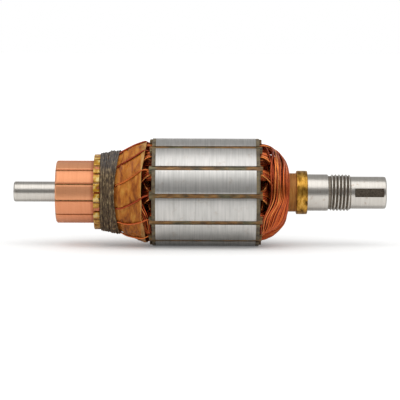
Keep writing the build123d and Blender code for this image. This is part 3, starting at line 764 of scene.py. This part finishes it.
# Leads: one enamelled wire from each slot, laid slantwise over the cone, tied down by the band
# and soldered into a riser.
lead_turns = [
    (-77.5, 0.0), (-78.6, 0.0), (-79.7, 0.5), (-80.7, 1.6), (-82.0, 4.0), (-83.4, 6.6),
    (-84.8, 9.0), (-86.2, 11.4), (-87.6, 13.6), (-89.0, 15.8), (-90.2, 17.2),
    (-91.4, 18.2), (-93.2, 19.6),
]
lead_lay = random.Random(5)
lead_leans = {150: 0.84, 210: 0.66}
bpy.context.view_layer.update()
paths = []
for angle in slot_angles:
    drift = [lead_lay.uniform(-1.1, 1.1) for _ in range(2)]
    path = []
    for step, (x, skew) in enumerate(lead_turns):
        share = step / (len(lead_turns) - 1)
        at = radians(angle + skew * lead_leans.get(angle % 360, 1) + sin(pi * share) * drift[0]
                     + sin(2 * pi * share) * drift[1] * 0.6)
        out = Vector((0, cos(at), sin(at)))
        found, spot, _, _ = wrap.ray_cast((Vector((x, 0, 0)) + out * 40) * mm, -out)
        radius = hypot(spot.y, spot.z) / mm + 0.38 if found else 22.5
        path.append(Vector((x, 0, 0)) + out * max(17.3, radius))
    for _ in range(3):
        for before, here, after in zip(path, path[1:], path[2:]):
            bridge = (hypot(before.y, before.z) + hypot(after.y, after.z)) / 2
            if here.x < cone_wide - 1 and bridge > hypot(here.y, here.z):
                here.yz *= bridge / hypot(here.y, here.z)
    for x, radius, skew in ((-96.0, 17.0, 23.0), (-98.4, 16.8, 25.6), (-100.6, 16.4, 27.5),
                            (-101.9, 16.375, 27.5), (-103.0, 16.375, 27.5)):
        at = radians(angle + skew)
        path.append(Vector((x, radius * cos(at), radius * sin(at))))
    paths.append(path)
leads = wires_of("commutator_leads_laid", paths, wire_diameter, False, 3)
finish_piece(leads, enamel, "enamelled_wire", "commutator_leads", angle=60)


# Cord band: one length of twine wound tight over the leads, from the risers up to the cone,
# and varnished dark. A few turns cross the others, and on the keyseat side all lie closer.
band_turns, twine_diameter = 14, 0.72
band_end, band_start = -91.75, -100.3
twine_lay = random.Random(21)


def band_spot(around, share, lift=0.0):
    """A place on the band, where share goes from the risers to the cone."""
    near = max(0, -cos(around))
    x = band_start + 0.35 * near**2 + (band_end - band_start - 2.9 * near**2) * share
    radius = 17.75 + 1.3 * (x - band_start) / (band_end - band_start) + 0.25 * near**2 + lift
    return Vector((x, radius * cos(around), radius * sin(around)))


twine_paths = []
for turn_index in range(band_turns + 5):
    crossing = turn_index >= band_turns
    share = twine_lay.uniform(0.55, 0.8) if crossing else turn_index / (band_turns - 1)
    reach, start = 0, 0
    if crossing:
        reach, start = twine_lay.uniform(0.08, 0.2), twine_lay.uniform(0, 2 * pi)
    waves, lifts = waver(twine_lay, 0.005, 0.018, 2, 7), waver(twine_lay, 0.03, 0.1, 2, 7)
    rise = 0.4 if crossing else 0.16 * (turn_index % 2)
    path = []
    for point in range(90):
        around = 2 * pi * point / 90
        path.append(band_spot(around, share + reach * sin(around + start) + swing(waves, around),
                              rise + swing(lifts, around)))
    twine_paths.append(path)
band = wires_of("cord_band_wound", twine_paths, twine_diameter, True, 2)
# Loose fibres, a tuft and the cut end of the twine stand a little off the turns
hairs_of_twine = []
for _ in range(420):
    around, share = twine_lay.uniform(0, 2 * pi), twine_lay.uniform(0.02, 0.98)
    length = twine_lay.uniform(0.03, 0.1)
    slope, lift = twine_lay.uniform(-0.05, 0.05), twine_lay.uniform(0.3, 0.42)
    hairs_of_twine.append([
        band_spot(around + length * k / 3, min(1, max(0, share + slope * k / 3)),
                  lift + 0.3 * sin(k * 1.1) * length * 8)
        for k in range(4)
    ])
loose = wires_of("twine_fibres", hairs_of_twine, 0.09, False, 0)
tails = wires_of("twine_tails", [
    [band_spot(pi + 0.02 + 0.05 * k, 0.99 + 0.012 * k, 0.45 + 0.12 * k) for k in range(5)],
    [band_spot(pi - 0.13 + 0.02 * k, 0.98 + 0.02 * k, 0.5 + 0.05 * k) for k in range(5)],
    [band_spot(pi + 0.2 - 0.02 * k, 0.06 - 0.045 * k, 0.3 - 0.1 * k) for k in range(6)],
], twine_diameter * 0.8, False, 2)
only(band)
loose.select_set(True)
tails.select_set(True)
bpy.ops.object.join()
band = bpy.context.object
# Waxed twine: dark grey-brown and fibrous, with painted shade between its turns that leaves
# the crowns of its strands paler, and a painted grey sheen over the top of the band.
twine, shader, place = new_material("varnished_twine")
hairs_at = add_node(twine, "Mapping", {"Vector": place, "Scale": (1500, 420, 420)})
hairs = add_node(twine, "TexNoise", {"Vector": hairs_at, "Scale": 1.0, "Detail": 5.0,
                                              "Roughness": 0.65})
twine_colour = add_node(twine, "ValToRGB", {0: hairs},
    stops=[(0.34, "#35281b"), (0.47, "#614c35"),
           (0.57, "#87704f"), (0.68, "#c6af88")])
twine_bump = add_node(twine, "Bump", {
    "Strength": 0.8, "Distance": 0.1 * mm, "Height": hairs})
twine_parts = add_node(twine, "SeparateXYZ", {0: place})
# Painted sheen: a cool grey laid over the top of the band.
painted_top_sheen = add_node(twine, "MapRange", {
    "Value": twine_parts.outputs["Z"], "From Min": 9.0 * mm, "From Max": 15.5 * mm, "To Max": 0.5})
twine_with_sheen = add_node(twine, "Mix", {
    0: painted_top_sheen, 6: twine_colour, 7: colour("#6a6c70")}, data_type="RGBA")
# Painted shade in the gaps between the turns of twine, from occlusion.
twine_occlusion = add_node(twine, "AmbientOcclusion", {"Distance": 1.0 * mm}, samples=6)
painted_twine_gap_shade = add_node(twine, "MapRange", {
    "Value": twine_occlusion.outputs["AO"], "From Min": 0.8, "From Max": 0.3, "To Max": 0.85})
twine_with_gap_shade = add_node(twine, "Mix", {
    0: painted_twine_gap_shade, 6: twine_with_sheen.outputs[2], 7: colour("#17120e")}, data_type="RGBA")
feed(twine, shader, {
    "Base Color": twine_with_gap_shade.outputs[2], "Roughness": 0.68, "Normal": twine_bump
})
finish_piece(band, twine, "waxed_cord", "cord_band", angle=60)


# Floor: a plain white table. To the camera and in reflections it is a little brighter than
# its lamps make it, so that it ends in white and still takes the soft shadow; near the piece that
# glow is dimmed as well, a painted soft shadow. Metal mirrors the part behind the piece and under
# the core darker, a painted shadow.
floor_height = -25.0
bpy.ops.object.select_all(action="DESELECT")
bpy.ops.mesh.primitive_plane_add(size=80, location=(0, 0, floor_height * mm))
floor = bpy.context.object
bpy.ops.object.transform_apply(location=True, rotation=True, scale=True)
floor.name = "floor"
table = bpy.data.materials.new("white_table_paint")
table.use_nodes = True
shader = table.node_tree.nodes["Principled BSDF"]
seen = add_node(table, "LightPath", {})
table_place = add_node(table, "TexCoord", {}).outputs["Object"]
away = add_node(table, "VectorMath", {0: table_place}, operation="LENGTH")
far_lift = add_node(table, "MapRange", {
    "Value": away.outputs["Value"], "From Min": 0.2, "From Max": 0.7,
    "To Min": 0.58, "To Max": 0.85})
# Painted contact shadow: the glow fades where the floor is occluded near the piece.
floor_occlusion = add_node(table, "AmbientOcclusion", {"Distance": 0.16}, samples=8)
painted_contact_shadow = add_node(table, "MapRange", {"Value": floor_occlusion.outputs["AO"], "To Min": 0.22})
shaded_lift = add_node(table, "Math", {0: far_lift, 1: painted_contact_shadow},
    operation="MULTIPLY")
# Painted shadow in reflections: glossy rays see the floor behind the piece and under the core grey
# and with less glow.
table_parts = add_node(table, "SeparateXYZ", {0: table_place})
from_core = add_node(table, "Math", {0: table_parts.outputs["X"], 1: core_middle * mm},
    operation="SUBTRACT")
core_side = add_node(table, "Math", {0: from_core}, operation="ABSOLUTE")
under_core = add_node(table, "MapRange", {
    "Value": core_side, "From Min": 0.023, "From Max": 0.027, "To Min": 0.0185, "To Max": 0.0})
shade_line = add_node(table, "Math", {0: table_parts.outputs["Y"], 1: under_core}, operation="ADD")
behind = add_node(table, "MapRange", {
    "Value": shade_line, "From Min": -0.002, "From Max": 0.003, "To Min": 1.0, "To Max": 0.45})
mirrored = add_node(table, "Math", {0: seen.outputs["Is Glossy Ray"], 1: behind},
    operation="MULTIPLY")
painted_reflection_shadow = add_node(table, "Math", {0: seen.outputs["Is Glossy Ray"], 1: mirrored},
    operation="SUBTRACT")
table_colour = add_node(table, "Mix", {
    0: painted_reflection_shadow, 6: colour("#dadad9"), 7: colour("#969696")}, data_type="RGBA")
feed(table, shader, {"Base Color": table_colour.outputs[2], "Roughness": 0.9})
seen_by = add_node(table, "Math", {0: seen.outputs["Is Camera Ray"], 1: mirrored},
    operation="MAXIMUM")
seen_through = add_node(table, "Math", {0: seen_by, 1: seen.outputs["Is Transmission Ray"]},
    operation="MAXIMUM")
lift = add_node(table, "Math", {0: seen_through, 1: shaded_lift},
    operation="MULTIPLY")
glow = add_node(table, "Emission", {"Color": (1, 1, 1, 1), "Strength": lift})
total = add_node(table, "AddShader", {0: shader, 1: glow})
feed(table, table.node_tree.nodes["Material Output"], {"Surface": total})
floor.data.materials.append(table)

# Light: a grey room, white all round at the height of the table, with one long soft box from
# in front to overhead. A grey card before the camera side gives metal its darker middle band.
world = bpy.data.worlds.new("studio_room")
bpy.context.scene.world = world
world.use_nodes = True
room = add_node(world, "TexCoord", {})
room_parts = add_node(world, "SeparateXYZ", {0: room.outputs["Generated"]})
height = add_node(world, "MapRange", {
    "Value": room_parts.outputs["Z"], "From Min": 0.36, "From Max": 0.22})
seen = add_node(world, "LightPath", {})
by_glossy = add_node(world, "Math", {
    0: seen.outputs["Is Glossy Ray"], 1: seen.outputs["Is Transmission Ray"]}, operation="MAXIMUM")
low_glossy = add_node(world, "Math", {0: by_glossy, 1: height}, operation="MULTIPLY")
white_part = add_node(world, "Math", {0: low_glossy, 1: seen.outputs["Is Camera Ray"]},
    operation="MAXIMUM")
room_colour = add_node(world, "Mix", {
    0: white_part, 6: (0.42, 0.42, 0.42, 1), 7: (1, 1, 1, 1)}, data_type="RGBA")
feed(world, world.node_tree.nodes["Background"], {"Color": room_colour.outputs[2]})

bpy.ops.object.select_all(action="DESELECT")
bpy.ops.object.light_add(type="AREA", location=(-0.055, -0.27, 0.52))
soft_box = bpy.context.object
soft_box.name = "soft_box"
soft_box.data.shape = "RECTANGLE"
soft_box.data.size, soft_box.data.size_y = 0.95, 0.60
soft_box.data.energy = 2.05
to_piece = Vector((-0.055, 0, 0)) - soft_box.location
soft_box.rotation_euler = to_piece.to_track_quat("-Z", "Y").to_euler()

bpy.ops.mesh.primitive_plane_add(
    size=1, location=(-0.055, -0.285, 0.115), rotation=(radians(141), 0, 0))
card = bpy.context.object
card.name = "dark_card"
card.scale = (1.5, 0.45, 1)
bpy.ops.object.transform_apply(location=True, rotation=True, scale=True)
grey = bpy.data.materials.new("grey_card")
grey.use_nodes = True
feed(grey, grey.node_tree.nodes["Principled BSDF"], {
    "Base Color": colour("#969696"), "Roughness": 0.9})
card.data.materials.append(grey)
card.visible_camera = card.visible_diffuse = card.visible_shadow = card.visible_transmission = False

# Camera: a long lens square to the shaft, with the key end on the right. It stands a little
# above the shaft and looks down on it.
aim = Vector((-54.6, 0, -3.7)) * mm
distance, rise, roll, view_angle = 885 * mm, radians(4.5), radians(0.2), radians(12.02)
bpy.ops.object.select_all(action="DESELECT")
camera_place = aim + Vector((0, -cos(rise), sin(rise))) * distance
bpy.ops.object.camera_add(location=camera_place)
camera = bpy.context.object
camera.rotation_euler = ((aim - camera_place).to_track_quat("-Z", "Y").to_matrix()
                         @ Matrix.Rotation(roll, 3, "Z")).to_euler()
camera.data.sensor_width = 36
camera.data.lens = 18 / tan(view_angle / 2)
camera.data.clip_start, camera.data.clip_end = 0.01, 100
bpy.context.scene.camera = camera
bpy.context.scene.view_settings.view_transform = "Standard"
